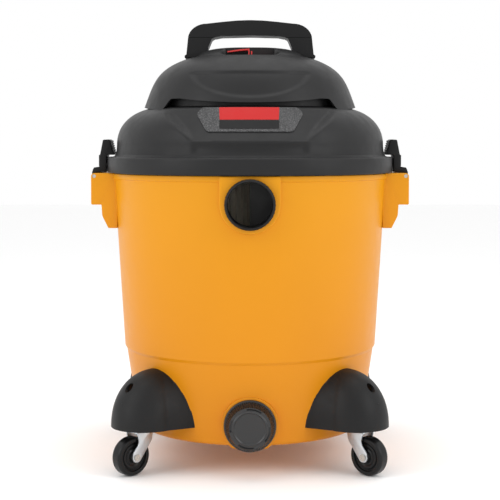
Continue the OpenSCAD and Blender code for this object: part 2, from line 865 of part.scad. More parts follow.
module filter_cage() {
    ribs = 8;
    rib_h = floor_z - 2 - cage_low_z;
    color(black) {
        translate([0, 0, floor_z - 3]) tube(60, seat_r, 3);
        translate([0, 0, cage_low_z]) cylinder(r = cage_r, h = 4);
        for (a = [0:turn / ribs:turn - 1]) rotate([0, 0, a])
            translate([ball_r + 1, -1.75, cage_low_z]) cube([cage_r - ball_r - 1.2, 3.5, rib_h]);
        for (z = [cage_low_z + 40, cage_low_z + 85])
            translate([0, 0, z]) tube(cage_r, cage_r - 4, 4);
        translate([0, 0, 244]) cylinder(r = 5, h = 28);
    }
}

module float_ball() {
    color([0.9, 0.9, 0.88]) translate([0, 0, ball_rest_z]) difference() {
        sphere(r = ball_r);
        sphere(r = ball_r - 1.5);
    }
}

module filter_element() {
    pleats = 60;
    color(paper) translate([0, 0, filter_low_z]) linear_extrude(filter_high_z - filter_low_z)
        difference() {
            polygon([for (i = [0:2 * pleats - 1]) let (a = 180 * i / pleats)
                (filter_r - (i % 2) * 7) * [cos(a), sin(a)]]);
            circle(r = 70);
        }
}

module filter_end_rings() {
    color(black) {
        translate([0, 0, filter_high_z]) tube(filter_r + 2, 62, floor_z - filter_high_z);
        translate([0, 0, filter_low_z - 5]) tube(filter_r + 2, 52, 5);
    }
}

module filter_retainer() {
    low = filter_low_z - 9;
    color(black) difference() {
        union() {
            translate([0, 0, low]) cylinder(r = 80, h = 4);
            translate([0, 0, low - 11]) cylinder(r = 16, h = 12);
            for (a = [0, 90]) rotate([0, 0, a])
                translate([-30, -3, low - 11]) cube([60, 6, 12]);
        }
        translate([0, 0, low - 20]) cylinder(r = 5.05, h = 40);
    }
}

tank_body();
inlet_ring();
inlet_deflector();
drain_gasket();
drain_cap();
foot(front_left);  // foot_front_left
foot(front_right);  // foot_front_right
foot(rear_left);  // foot_rear_left
foot(rear_right);  // foot_rear_right
foot_screws();
caster_stems();
fork(front_left);  // fork_front_left
fork(front_right);  // fork_front_right
fork(rear_left);  // fork_rear_left
fork(rear_right);  // fork_rear_right
wheel(front_left);  // wheel_front_left
wheel(front_right);  // wheel_front_right
wheel(rear_left);  // wheel_rear_left
wheel(rear_right);  // wheel_rear_right
axle(front_left);  // axle_front_left
axle(front_right);  // axle_front_right
axle(rear_left);  // axle_rear_left
axle(rear_right);  // axle_rear_right
latch(-1);  // latch_left
latch(1);  // latch_right
latch_pins();
lid();
lid_gasket();
top_cover();
cover_screws();
name_plate();
handle_lower();
handle_grip();
handle_screws();
saddle();
switch_body();
switch_rocker();
exhaust_ring();
cord_gland();
fan_housing();
motor_seal();
motor_bracket();
motor_screws();
impeller();
motor_shaft();
armature();
commutator();
cooling_fan();
stator();
field_coils();
end_bracket();
lower_bearing();
upper_bearing();
brush_holders();
brushes();
filter_cage();
float_ball();
filter_element();
filter_end_rings();
filter_retainer();
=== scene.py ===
import math

import bmesh
import bpy
from mathutils import Matrix, Vector


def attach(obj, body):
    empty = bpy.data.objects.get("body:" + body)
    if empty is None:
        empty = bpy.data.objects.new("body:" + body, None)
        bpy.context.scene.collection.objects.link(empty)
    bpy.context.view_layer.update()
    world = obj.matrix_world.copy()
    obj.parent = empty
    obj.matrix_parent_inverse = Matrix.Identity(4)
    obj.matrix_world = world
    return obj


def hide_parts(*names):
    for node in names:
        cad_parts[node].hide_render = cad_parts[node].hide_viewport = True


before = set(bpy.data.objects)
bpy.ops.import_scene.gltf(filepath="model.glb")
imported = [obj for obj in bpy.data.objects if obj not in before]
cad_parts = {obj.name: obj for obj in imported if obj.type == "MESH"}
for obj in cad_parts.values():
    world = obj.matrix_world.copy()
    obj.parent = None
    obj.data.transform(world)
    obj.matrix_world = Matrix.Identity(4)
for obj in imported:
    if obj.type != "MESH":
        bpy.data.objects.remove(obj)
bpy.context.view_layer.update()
print("frame loaded:", len(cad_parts), "nodes")

mm = 0.001
scene = bpy.context.scene

# Each foot's direction from the tank's middle, in degrees from +X
corners = {"front_left": 223, "front_right": 317, "rear_left": 137, "rear_right": 43}


# Outlines are lists of (x, y, corner radius) in millimetres

def arcAt(before, corner, after, radius, steps):
    a = Vector(before) - Vector(corner)
    b = Vector(after) - Vector(corner)
    angle = a.angle(b)
    if radius <= 0 or angle > math.pi - 0.02:
        return [tuple(corner)]
    reach = min(radius / math.tan(angle / 2), 0.49 * a.length, 0.49 * b.length)
    a.normalize()
    b.normalize()
    first = Vector(corner) + a * reach
    last = Vector(corner) + b * reach
    centre = Vector(corner) + (a + b).normalized() * (reach / math.cos(angle / 2))
    start = first - centre
    end = last - centre
    turn = math.atan2(start.x * end.y - start.y * end.x, start.dot(end))
    points = []
    for i in range(steps + 1):
        t = turn * i / steps
        points.append((centre.x + start.x * math.cos(t) - start.y * math.sin(t),
                       centre.y + start.x * math.sin(t) + start.y * math.cos(t)))
    return points


def outline(points, closed=True, steps=5):
    out = []
    n = len(points)
    for i, (x, y, *radius) in enumerate(points):
        if not closed and i in (0, n - 1):
            out.append((x, y))
            continue
        out += arcAt(points[i - 1][:2], (x, y), points[(i + 1) % n][:2],
                     radius[0] if radius else 0, steps)
    return out


def meshObject(name, verts, faces, sharpAngle=32):
    mesh = bpy.data.meshes.new(name)
    mesh.from_pydata([Vector(v) * mm for v in verts], [], faces)
    mesh.validate()
    thing = bpy.data.objects.new(name, mesh)
    scene.collection.objects.link(thing)
    tidyMesh(thing, sharpAngle)
    return thing


def tidyMesh(thing, sharpAngle=32, recalculate=True):
    work = bmesh.new()
    work.from_mesh(thing.data)
    bmesh.ops.remove_doubles(work, verts=work.verts, dist=1e-6)
    bmesh.ops.dissolve_degenerate(work, edges=work.edges, dist=1e-7)
    if recalculate:
        bmesh.ops.recalc_face_normals(work, faces=work.faces)
    limit = math.radians(sharpAngle)
    for edge in work.edges:
        edge.smooth = len(edge.link_faces) == 2 and edge.calc_face_angle(0) < limit
    for face in work.faces:
        face.smooth = True
    work.to_mesh(thing.data)
    work.free()


def ringMesh(name, rings, wrap=True, loop=False, caps=False, sharpAngle=32):
    # rings: lists of points of equal length; wrap joins last point to first, loop last ring to first
    count = len(rings[0])
    verts = [p for ring in rings for p in ring]
    faces = []
    for i in range(len(rings) if loop else len(rings) - 1):
        j = (i + 1) % len(rings)
        for k in range(count if wrap else count - 1):
            m = (k + 1) % count
            faces.append((i * count + k, i * count + m, j * count + m, j * count + k))
    if caps:
        faces.append(tuple(range(count))[::-1])
        faces.append(tuple((len(rings) - 1) * count + k for k in range(count)))
    return meshObject(name, verts, faces, sharpAngle)


def lathe(name, profile, segments=128, sharpAngle=32, closed=True):
    # profile: (radius, z) points turned about Z; an open one starts and ends on the axis
    rings = []
    for i in range(segments):
        a = 2 * math.pi * i / segments
        rings.append([(r * math.cos(a), r * math.sin(a), z) for r, z in profile])
    return ringMesh(name, rings, wrap=closed, loop=True, sharpAngle=sharpAngle)


def rod(name, radius, low, high, segments=32):
    return lathe(name, [(0, low), (radius, low), (radius, high), (0, high)], segments, closed=False)


def prism(name, points, low, high, bevel=0, bevelSteps=3, sharpAngle=32):
    # outline in x and z, drawn out along y
    verts = [(x, low, z) for x, z in points] + [(x, high, z) for x, z in points]
    n = len(points)
    faces = [tuple(range(n)), tuple(range(2 * n - 1, n - 1, -1))]
    faces += [(i, n + i, n + (i + 1) % n, (i + 1) % n) for i in range(n)]
    thing = meshObject(name, verts, faces, sharpAngle)
    if bevel:
        work = bmesh.new()
        work.from_mesh(thing.data)
        rim = [e for e in work.edges if e.calc_face_angle(0) > math.radians(50)]
        bmesh.ops.bevel(work, geom=rim, offset=bevel * mm, segments=bevelSteps,
                        profile=0.5, affect="EDGES", clamp_overlap=True)
        work.to_mesh(thing.data)
        work.free()
        tidyMesh(thing, sharpAngle)
    return thing


def block(name, low, high, bevel=0):
    x0, y0, z0 = low
    x1, y1, z1 = high
    return prism(name, [(x0, z0), (x1, z0), (x1, z1), (x0, z1)], y0, y1, bevel)


def place(thing, matrix):
    thing.data.transform(matrix)
    if matrix.determinant() < 0:
        thing.data.flip_normals()
    return thing


def alongY(thing, x, y, z, front=True):
    # a lathe made about Z is laid along Y, its top towards the front, and moved
    turn = Matrix.Rotation(math.radians(90 if front else -90), 4, "X")
    return place(thing, Matrix.Translation(Vector((x, y, z)) * mm) @ turn)


def combine(thing, others, operation="UNION", sharpAngle=32):
    for other in others:
        step = thing.modifiers.new("combine", "BOOLEAN")
        step.operation = operation
        step.solver = "EXACT"
        step.object = other
        bake(thing)
        bpy.data.objects.remove(other)
    tidyMesh(thing, sharpAngle, recalculate=False)
    return thing


def bake(thing):
    graph = bpy.context.evaluated_depsgraph_get()
    mesh = bpy.data.meshes.new_from_object(thing.evaluated_get(graph))
    thing.modifiers.clear()
    thing.data = mesh
    return thing


def join(name, things):
    work = bmesh.new()
    for thing in things:
        work.from_mesh(thing.data)
        bpy.data.objects.remove(thing)
    mesh = bpy.data.meshes.new(name)
    work.to_mesh(mesh)
    work.free()
    joined = bpy.data.objects.new(name, mesh)
    scene.collection.objects.link(joined)
    return joined


def smoothstep(low, high, x):
    t = min(1, max(0, (x - low) / (high - low)))
    return t * t * (3 - 2 * t)


def mix(a, b, t):
    return a + (b - a) * t


def finished(piece, body, material, slotName, *replaced):
    piece.data.materials.clear()
    piece.data.materials.append(material)
    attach(piece, body)
    if replaced:
        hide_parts(*replaced)
    return piece


# Materials

def nodesOf(name):
    material = bpy.data.materials.new(name)
    material.use_nodes = True
    tree = material.node_tree
    return material, tree, tree.nodes["Principled BSDF"]


def noise(tree, scale, detail=3, roughness=0.5, stretch=(1, 1, 1)):
    place3d = tree.nodes.new("ShaderNodeTexCoord")
    mapping = tree.nodes.new("ShaderNodeMapping")
    mapping.inputs["Scale"].default_value = stretch
    texture = tree.nodes.new("ShaderNodeTexNoise")
    texture.inputs["Scale"].default_value = scale
    texture.inputs["Detail"].default_value = detail
    texture.inputs["Roughness"].default_value = roughness
    tree.links.new(place3d.outputs["Object"], mapping.inputs["Vector"])
    tree.links.new(mapping.outputs["Vector"], texture.inputs["Vector"])
    return texture


def ramp(tree, source, low, high, start=0.3, end=0.7):
    node = tree.nodes.new("ShaderNodeMapRange")
    node.inputs["From Min"].default_value = start
    node.inputs["From Max"].default_value = end
    node.inputs["To Min"].default_value = low
    node.inputs["To Max"].default_value = high
    tree.links.new(source, node.inputs["Value"])
    return node.outputs["Result"]


def tint(tree, factor, first, second):
    node = tree.nodes.new("ShaderNodeMix")
    node.data_type = "RGBA"
    node.inputs["A"].default_value = (*first, 1)
    node.inputs["B"].default_value = (*second, 1)
    tree.links.new(factor, node.inputs["Factor"])
    return node.outputs["Result"]


def bump(tree, height, strength, distance):
    node = tree.nodes.new("ShaderNodeBump")
    node.inputs["Strength"].default_value = strength
    node.inputs["Distance"].default_value = distance
    tree.links.new(height, node.inputs["Height"])
    return node.outputs["Normal"]


def plastic(name, colour, second, roughness, grain=1400, grainDepth=0.25, metallic=0,
            specular=0.5, coat=0, sheen=0, lower=None):
    material, tree, shader = nodesOf(name)
    broad = noise(tree, 9, 4)
    fine = noise(tree, grain, 2)
    shade = tint(tree, ramp(tree, broad.outputs["Fac"], 0, 1), colour, second)
    if lower:
        # painted shade: the colour darkens to orange towards the floor, standing in for shade on the tank's
        # lower part
        where = tree.nodes.new("ShaderNodeTexCoord")
        split = tree.nodes.new("ShaderNodeSeparateXYZ")
        tree.links.new(where.outputs["Object"], split.inputs["Vector"])
        paintedShadeBelow = tint(tree, ramp(tree, split.outputs["Z"], 0, 1, 0.05, 0.38), lower, colour)
        blend = tree.nodes.new("ShaderNodeMix")
        blend.data_type = "RGBA"
        blend.inputs["Factor"].default_value = 0.6
        tree.links.new(shade, blend.inputs["A"])
        tree.links.new(paintedShadeBelow, blend.inputs["B"])
        shade = blend.outputs["Result"]
    tree.links.new(shade, shader.inputs["Base Color"])
    tree.links.new(ramp(tree, noise(tree, 60, 4).outputs["Fac"], roughness[0], roughness[1]),
                   shader.inputs["Roughness"])
    tree.links.new(bump(tree, fine.outputs["Fac"], grainDepth, 0.00012),
                   shader.inputs["Normal"])
    shader.inputs["Metallic"].default_value = metallic
    shader.inputs["Specular IOR Level"].default_value = specular
    shader.inputs["Coat Weight"].default_value = coat
    shader.inputs["Sheen Weight"].default_value = sheen
    return material


def speckled(name, base, fleck, roughness):
    material, tree, shader = nodesOf(name)
    cells = noise(tree, 900, 2, 0.7)
    tree.links.new(tint(tree, ramp(tree, cells.outputs["Fac"], 0, 1, 0.5, 0.64), base, fleck),
                   shader.inputs["Base Color"])
    tree.links.new(bump(tree, cells.outputs["Fac"], 0.5, 0.0002), shader.inputs["Normal"])
    shader.inputs["Roughness"].default_value = roughness
    return material


def brushed(name, colour, second, roughness, stretch):
    material, tree, shader = nodesOf(name)
    lines = noise(tree, 220, 4, 0.6, stretch)
    spots = noise(tree, 38, 5, 0.65)
    tree.links.new(tint(tree, ramp(tree, spots.outputs["Fac"], 0, 1), colour, second),
                   shader.inputs["Base Color"])
    tree.links.new(ramp(tree, lines.outputs["Fac"], roughness[0], roughness[1]),
                   shader.inputs["Roughness"])
    tree.links.new(bump(tree, lines.outputs["Fac"], 0.25, 0.0001), shader.inputs["Normal"])
    shader.inputs["Metallic"].default_value = 1
    return material


# the yellow's lower colour is painted shade, darkening the tank towards the floor
yellowPlastic = plastic("yellowPlastic", (0.66, 0.268, 0.003), (0.70, 0.288, 0.004), (0.34, 0.42),
                        700, 0.05, specular=0.22, lower=(0.60, 0.185, 0.006))
charcoalPlastic = plastic("charcoalPlastic", (0.012, 0.012, 0.0124), (0.016, 0.016, 0.0164),
                          (0.40, 0.50), 1500, 0.45, specular=0.22)
blackPlastic = plastic("blackPlastic", (0.006, 0.006, 0.0063), (0.009, 0.009, 0.0093),
                       (0.38, 0.50), 1500, 0.4, specular=0.2)
capPlastic = plastic("capPlastic", (0.012, 0.012, 0.0125), (0.016, 0.016, 0.0165), (0.26, 0.36), 900,
                     0.2, specular=0.5)
footPlastic = plastic("footPlastic", (0.006, 0.006, 0.0063), (0.010, 0.010, 0.0103),
                      (0.44, 0.56), 900, 0.5, specular=0.22)
redPlastic = plastic("redPlastic", (0.52, 0.008, 0.007), (0.58, 0.012, 0.009), (0.25, 0.34),
                     600, 0.1, specular=0.6)
labelRed = plastic("labelRed", (0.40, 0.006, 0.006), (0.46, 0.009, 0.008), (0.34, 0.44), 500, 0.08,
                   specular=0.2)
labelDark = plastic("labelDark", (0.006, 0.006, 0.0063), (0.010, 0.010, 0.0105), (0.4, 0.5), 500, 0.08,
                    specular=0.15)
granite = speckled("granite", (0.010, 0.010, 0.0105), (0.12, 0.12, 0.123), 0.55)
wheelRubber = plastic("wheelRubber", (0.004, 0.004, 0.0042), (0.007, 0.007, 0.0073), (0.26, 0.38),
                      500, 0.15, specular=0.25)
sealRubber = plastic("sealRubber", (0.015, 0.015, 0.015), (0.025, 0.025, 0.025), (0.6, 0.75),
                     800, 0.5)
zinc = brushed("zinc", (0.62, 0.64, 0.65), (0.50, 0.53, 0.56), (0.28, 0.46), (1, 1, 0.12))
brightSteel = brushed("brightSteel", (0.56, 0.54, 0.50), (0.46, 0.44, 0.40), (0.22, 0.38),
                      (1, 1, 0.2))
castMetal = brushed("castMetal", (0.52, 0.53, 0.54), (0.42, 0.43, 0.45), (0.42, 0.6), (1, 1, 1))
lamination = brushed("lamination", (0.22, 0.23, 0.25), (0.15, 0.16, 0.18), (0.4, 0.6),
                     (0.1, 0.1, 12))
copperWire = brushed("copperWire", (0.72, 0.33, 0.14), (0.55, 0.20, 0.08), (0.25, 0.45),
                     (0.2, 0.2, 6))
brassMetal = brushed("brassMetal", (0.72, 0.52, 0.20), (0.62, 0.42, 0.14), (0.25, 0.4),
                     (1, 1, 0.3))
carbonBlock = plastic("carbonBlock", (0.02, 0.02, 0.02), (0.035, 0.035, 0.035), (0.6, 0.8),
                      900, 0.5)
whitePlastic = plastic("whitePlastic", (0.72, 0.72, 0.69), (0.78, 0.78, 0.75), (0.3, 0.42),
                       900, 0.15)
filterPaper = plastic("filterPaper", (0.66, 0.62, 0.50), (0.74, 0.71, 0.60), (0.8, 0.92), 500,
                      0.8, sheen=0.2)
darkInside = plastic("darkInside", (0.010, 0.010, 0.010), (0.016, 0.016, 0.016), (0.5, 0.6), 900,
                     0.3)
print("materials ready")


# Geometry Nodes: round rods set in a ring or a row

def rodTree(name, row):
    tree = bpy.data.node_groups.new(name, "GeometryNodeTree")
    face = tree.interface
    sizes = {}
    for label, kind, value in (("Count", "NodeSocketInt", 60), ("Ring radius", "NodeSocketFloat", 0.03),
                               ("Row step", "NodeSocketVector", (0, 0, 0.001)),
                               ("Rod radius", "NodeSocketFloat", 0.001),
                               ("Rod length", "NodeSocketFloat", 0.01),
                               ("Rod sides", "NodeSocketInt", 8),
                               ("Rod turn", "NodeSocketVector", (0, 0, 0)),
                               ("Material", "NodeSocketMaterial", None)):
        socket = face.new_socket(label, in_out="INPUT", socket_type=kind)
        if value is not None:
            socket.default_value = value
        sizes[label] = socket.identifier
    face.new_socket("Geometry", in_out="OUTPUT", socket_type="NodeSocketGeometry")
    start = tree.nodes.new("NodeGroupInput")
    end = tree.nodes.new("NodeGroupOutput")
    rod = tree.nodes.new("GeometryNodeMeshCylinder")
    tree.links.new(start.outputs["Rod sides"], rod.inputs["Vertices"])
    tree.links.new(start.outputs["Rod radius"], rod.inputs["Radius"])
    tree.links.new(start.outputs["Rod length"], rod.inputs["Depth"])
    smooth = tree.nodes.new("GeometryNodeSetShadeSmooth")
    smooth.inputs["Shade Smooth"].default_value = False
    tree.links.new(rod.outputs["Mesh"], smooth.inputs["Geometry"])
    instance = tree.nodes.new("GeometryNodeInstanceOnPoints")
    tree.links.new(smooth.outputs["Geometry"], instance.inputs["Instance"])
    tree.links.new(start.outputs["Rod turn"], instance.inputs["Rotation"])
    if row:
        line = tree.nodes.new("GeometryNodeMeshLine")
        tree.links.new(start.outputs["Count"], line.inputs["Count"])
        tree.links.new(start.outputs["Row step"], line.inputs["Offset"])
        tree.links.new(line.outputs["Mesh"], instance.inputs["Points"])
    else:
        circle = tree.nodes.new("GeometryNodeMeshCircle")
        tree.links.new(start.outputs["Count"], circle.inputs["Vertices"])
        tree.links.new(start.outputs["Ring radius"], circle.inputs["Radius"])
        tree.links.new(circle.outputs["Mesh"], instance.inputs["Points"])
    real = tree.nodes.new("GeometryNodeRealizeInstances")
    paint = tree.nodes.new("GeometryNodeSetMaterial")
    tree.links.new(instance.outputs["Instances"], real.inputs["Geometry"])
    tree.links.new(real.outputs["Geometry"], paint.inputs["Geometry"])
    tree.links.new(start.outputs["Material"], paint.inputs["Material"])
    tree.links.new(paint.outputs["Geometry"], end.inputs["Geometry"])
    return tree, sizes


rodRing = rodTree("rodRing", False)
rodRow = rodTree("rodRow", True)


def rods(name, kind, material, **sizes):
    tree, identifiers = kind
    thing = bpy.data.objects.new(name, bpy.data.meshes.new(name))
    step = thing.modifiers.new("rods", "NODES")
    step.node_group = tree
    for label, value in sizes.items():
        step[identifiers[label.replace("_", " ").capitalize()]] = value
    step[identifiers["Material"]] = material
    scene.collection.objects.link(thing)
    bpy.context.view_layer.update()
    return bake(thing)


# Tank

tank = {"footR": 158, "footZ": 40, "stepR": 176.3, "stepZ": 152.5, "topR": 190, "topZ": 392,
        "wall": 3.5, "lipR": 192, "lipH": 8, "earX": 219.8, "earHalf": 36, "earLow": 316,
        "bossY": 192.3, "bossHalf": 38.8, "inletZ": 356, "drainZ": 70, "drainY": 168,
        "pinX": 215.5, "pinZ": 388, "pinHole": 2.6}


def tankRadius(z):
    if z > tank["stepZ"]:
        return mix(tank["stepR"], tank["topR"],
                   (z - tank["stepZ"]) / (tank["topZ"] - tank["stepZ"]))
    return mix(tank["footR"], tank["stepR"] - 3, (z - 48) / (tank["stepZ"] - 4 - 48))


def earPiece():
    t = tank
    points = outline([
        (183.2, t["earLow"]), (196, t["earLow"], 1.5), (204.5, 333, 14), (205.5, 348.5, 1),
        (t["earX"], 348.5, 2), (t["earX"], t["topZ"], 4.3), (183.2, t["topZ"])])
    ear = prism("ear", points, -t["earHalf"], t["earHalf"], 1.6)
    slot = block("slot", (204.8, -12.6, 378), (230, 12.6, 400))
    hole = alongY(rod("hole", t["pinHole"], -50, 50, 24), t["pinX"], 0, t["pinZ"])
    pockets = [block("pocket", (197, s * 24 - 8.5, 300), (216.5, s * 24 + 8.5, 374), 0)
               for s in (-1, 1)]
    return combine(ear, [slot, hole] + pockets, "DIFFERENCE")


def makeTank():
    t = tank
    w = t["wall"]
    foot, top = t["footR"], t["topR"]
    profile = outline([
        (0, t["footZ"] + 3), (96, t["footZ"] + 3, 3), (101, t["footZ"], 3),
        (foot - 0.8, t["footZ"], 8), (t["stepR"] - 3, t["stepZ"] - 4, 1.2),
        (t["stepR"] - 0.4, t["stepZ"], 1.0), (top - 0.2, t["topZ"] - t["lipH"], 0.8),
        (t["lipR"], t["topZ"] - t["lipH"] + 1, 1.2), (t["lipR"], t["topZ"], 1.5),
        (top - w - 2.5, t["topZ"], 1), (top - w - 1, t["topZ"] - 14, 1),
        (t["stepR"] - w, t["stepZ"], 2), (foot - w, t["footZ"] + 9, 8),
        (foot - 9, t["footZ"] + w + 3, 6), (0, t["footZ"] + w + 3)], closed=False)
    body = lathe("tank", profile, 288, closed=False)
    ears = [earPiece(), place(earPiece(), Matrix.Scale(-1, 4, (1, 0, 0)))]
    half, z0 = t["bossHalf"], t["inletZ"] + 1.2
    arch = [(half * math.cos(a), z0 + half * math.sin(a))
            for a in [math.radians(180 + 180 * i / 48) for i in range(49)]]
    boss = prism("boss", arch + [(half, t["topZ"] - 0.5), (-half, t["topZ"] - 0.5)],
                 -t["bossY"], -182.8, 1.4)
    ring = [(37 * math.cos(a), max(t["drainZ"] + 37 * math.sin(a), t["footZ"] + 0.3))
            for a in [2 * math.pi * i / 72 for i in range(72)]]
    drainBoss = prism("drainBoss", [p for i, p in enumerate(ring) if p != ring[i - 1]],
                      -t["drainY"], -153, 0)
    spigot = alongY(rod("spigot", 24, 0, 26, 96), 0, -154, t["drainZ"])
    combine(body, ears + [boss, drainBoss, spigot])
    cuts = [alongY(rod("cut", 31, 0, 60, 96), 0, -150, t["inletZ"]),
            alongY(rod("cut", 19, 0, 60, 72), 0, -140, t["drainZ"])]
    combine(body, cuts, "DIFFERENCE")
    threads = [alongY(lathe("thread", outline([(23.6, z, 0), (24.25, z + 1, 0.3),
                                               (23.6, z + 2, 0)]), 96), 0, -168, t["drainZ"])
               for z in (1.5, 5.5, 9)]
    return finished(join("tankShell", [body] + threads), "root", yellowPlastic, "tank",
                    "tank_body")


makeTank()
print("tank made")


# Hose ports

port = {"bore": 28.6, "barrel": 30.9, "bezel": 32.2, "bezelLength": 12.7, "barrelLength": 31.3,
        "exhaustZ": 447.3}


def portRing(name):
    p = port
    front = p["bezelLength"]
    ring = lathe(name, outline([
        (p["bore"], -p["barrelLength"], 0.5), (p["barrel"], -p["barrelLength"], 0.5),
        (p["barrel"], 0.0, 0), (p["bezel"], 0.0, 0.6), (p["bezel"], front - 2, 2.5),
        (p["bezel"] - 2.2, front, 1.2), (p["bore"] + 0.3, front, 1.0),
        (p["bore"], front - 3, 2)]), 160)
    grips = rods(name + "Grips", rodRing, blackPlastic, count=40, ring_radius=(p["bezel"] + 0.05) * mm,
                 rod_radius=0.5 * mm, rod_length=7 * mm, rod_sides=6)
    place(grips, Matrix.Translation((0, 0, 6 * mm)))
    return join(name, [ring, grips])


inletRing = alongY(portRing("inletRing"), 0, -tank["bossY"], tank["inletZ"])
finished(inletRing, "root", blackPlastic, "black_plastic", "inlet_ring")
exhaustRing = alongY(portRing("exhaustRing"), 0, tank["bossY"], port["exhaustZ"], front=False)
finished(exhaustRing, "head", blackPlastic, "black_plastic", "exhaust_ring")
print("ports made")


# Drain cap

drain = {"rim": 34, "grip": 32.6, "front": 27.4, "faceY": 186, "disc": 22.2, "ribs": 72,
         "ripple": 1.3, "seatY": 168.5, "slotIn": 23.9, "slotOut": 26.1}


def makeDrainCap():
    d = drain
    depth = d["faceY"] - d["seatY"]
    shape = outline([
        (0, depth), (19.5, depth, 2), (d["disc"] - 1.0, depth + 2, 0.8),
        (d["disc"], depth + 0.6, 0.6), (d["disc"] + 1, depth, 0.3),
        (d["front"] - 0.6, depth, 0.4), (d["front"], depth - 0.6, 0.5), (d["grip"], 4, 0.5),
        (d["rim"] - 0.3, 3.4, 0.8), (d["rim"], 0, 0.6), (31.2, 0, 0), (31.2, 1.6, 0),
        (24.3, 1.6, 0), (24.3, 13, 0), (0, 13)], closed=False, steps=3)
    rings = []
    for i in range(d["ribs"] * 8):
        a = 2 * math.pi * i / (d["ribs"] * 8)
        ripple = d["ripple"] * (0.5 - 0.5 * math.cos(d["ribs"] * a)) ** 0.7
        ring = []
        for r, z in shape:
            if d["front"] - 0.4 < r < d["grip"] + 0.1 and z > 3.8:
                r -= ripple
            ring.append((r * math.cos(a), r * math.sin(a), z))
        rings.append(ring)
    body = ringMesh("drainCap", rings, wrap=False, loop=True, sharpAngle=28)
    for start, sweep in ((55, 45), (155, 35), (235, 45), (320, 45)):
        steps = 12
        angles = [math.radians(start + sweep * i / steps) for i in range(steps + 1)]
        sector = [(d["slotOut"] * math.cos(a), d["slotOut"] * math.sin(a)) for a in angles]
        sector += [(d["slotIn"] * math.cos(a), d["slotIn"] * math.sin(a)) for a in reversed(angles)]
        cut = prism("cut", sector, -depth - 2, -depth + 3.4)
        place(cut, Matrix.Rotation(math.radians(-90), 4, "X"))
        combine(body, [cut], "DIFFERENCE")
    cap = alongY(body, 0, -d["seatY"], tank["drainZ"])
    cap.name = "drainCapPiece"
    finished(cap, "drain_cap", capPlastic, "black_plastic", "drain_cap")


makeDrainCap()
print("drain cap made")


# Feet: u runs outwards from the tank's centre, v across, z up

foot = {"low": 62, "height": 73, "apexU": 169.5, "half": 56, "nose": 45, "noseU": 188.7,
        "swivelU": 197, "wall": 3, "screwZ": 115}


def footBase(steps):
    # the foot's outline on its underside, from the tank round the nose and back
    f = foot
    wallU = math.sqrt(tankRadius(f["low"]) ** 2 - f["half"] ** 2)
    points = []
    for i in range(steps + 1):
        a = math.radians(-92 + 184 * i / steps)
        points.append((f["noseU"] + f["nose"] * math.cos(a), f["nose"] * math.sin(a)))
    straight = 8
    entry = [(mix(wallU, points[0][0], i / straight), mix(-f["half"], points[0][1], i / straight))
             for i in range(straight)]
    return entry + points + [(u, -v) for u, v in reversed(entry)]


def footShell(inset, low, bell=2.15):
    f = foot
    rings = []
    rows = 20
    base = footBase(40)
    for row in range(rows + 1):
        t = math.sin(math.pi / 2 * row / rows)
        keep = (1 - t ** bell) ** (1 / bell) if row < rows else 0.02
        z = low + (f["low"] + f["height"] - inset - low) * t
        ring = []
        for u, v in base:
            shrink = 1 - inset / 48
            x = f["apexU"] + (u - f["apexU"]) * keep * shrink
            y = v * keep * shrink
            if row == 0:
                x, y = f["apexU"] + (u - f["apexU"]) * shrink, v * shrink
            least = tankRadius(z) + (0.05 if inset == 0 else inset)
            if math.hypot(x, y) < least:
                x = math.sqrt(max(least ** 2 - y ** 2, 0))
            ring.append((x, y, z))
        rings.append(ring)
    return rings


def makeFoot(corner):
    f = foot
    outer = ringMesh("foot", footShell(0, f["low"]), wrap=True, caps=True, sharpAngle=48)
    inner = ringMesh("inner", footShell(f["wall"], f["low"] - 1), wrap=True, caps=True)
    combine(outer, [inner], "DIFFERENCE", 48)
    screwLine = Matrix.Translation((0, 0, f["screwZ"] * mm)) @ Matrix.Rotation(math.pi / 2, 4, "Y")
    hole = place(rod("hole", 5.6, 176, 260), screwLine)
    shank = place(rod("shank", 2.7, 150, 200, 24), screwLine)
    combine(outer, [hole, shank], "DIFFERENCE", 48)
    tube = place(lathe("tube", [(5.6, 173), (8, 173), (8, 190), (5.6, 190)], 32), screwLine)
    boss = lathe("boss", [(5.6, 0), (11, 0), (11, 50), (5.6, 50)], 40)
    place(boss, Matrix.Translation((f["swivelU"] * mm, 0, f["low"] * mm)))
    rib = block("rib", (166, -1.5, f["low"] + 1), (228, 1.5, 96))
    cutter = rod("cut", 5.6, 50, 100, 40)
    place(cutter, Matrix.Translation((f["swivelU"] * mm, 0, 0)))
    combine(rib, [cutter], "DIFFERENCE")
    piece = join("foot_" + corner + "Shell", [outer, tube, boss, rib])
    place(piece, Matrix.Rotation(math.radians(corners[corner]), 4, "Z"))
    finished(piece, "root", footPlastic, "black_plastic", "foot_" + corner)


# Casters

caster = {"swivelU": 197, "trail": 16, "wheelR": 25.4, "width": 17, "hub": 10.6,
          "forkTop": 57.7, "forkHalf": 13, "forkT": 2.2, "axleHole": 3.05}


def makeWheel(corner):
    c = caster
    half, r = c["width"] / 2, c["wheelR"]
    side = [(c["axleHole"], c["hub"], 0), (7.2, c["hub"], 0.8), (8.2, half - 1.6, 1.0), (11, half - 2.6, 1.0),
            (12.4, half - 1.6, 0.6), (15.8, half - 1.6, 0.8), (16.6, half - 3.2, 0.6),
            (18.4, half - 3.2, 0.6), (19.2, half - 0.2, 0.8), (r - 1.6, half, 2.2),
            (r, half - 3.4, 2.5)]
    profile = outline(side + [(x, -z, radius) for x, z, radius in reversed(side)], steps=4)
    wheel = lathe("wheel", profile, 96)
    u = c["swivelU"] + c["trail"]
    place(wheel, Matrix.Rotation(math.radians(corners[corner]), 4, "Z")
          @ Matrix.Translation((u * mm, 0, r * mm)) @ Matrix.Rotation(math.pi / 2, 4, "X"))
    wheel.name = "wheel_" + corner + "Tyre"
    finished(wheel, "wheel_" + corner, wheelRubber, "wheel_rubber", "wheel_" + corner)


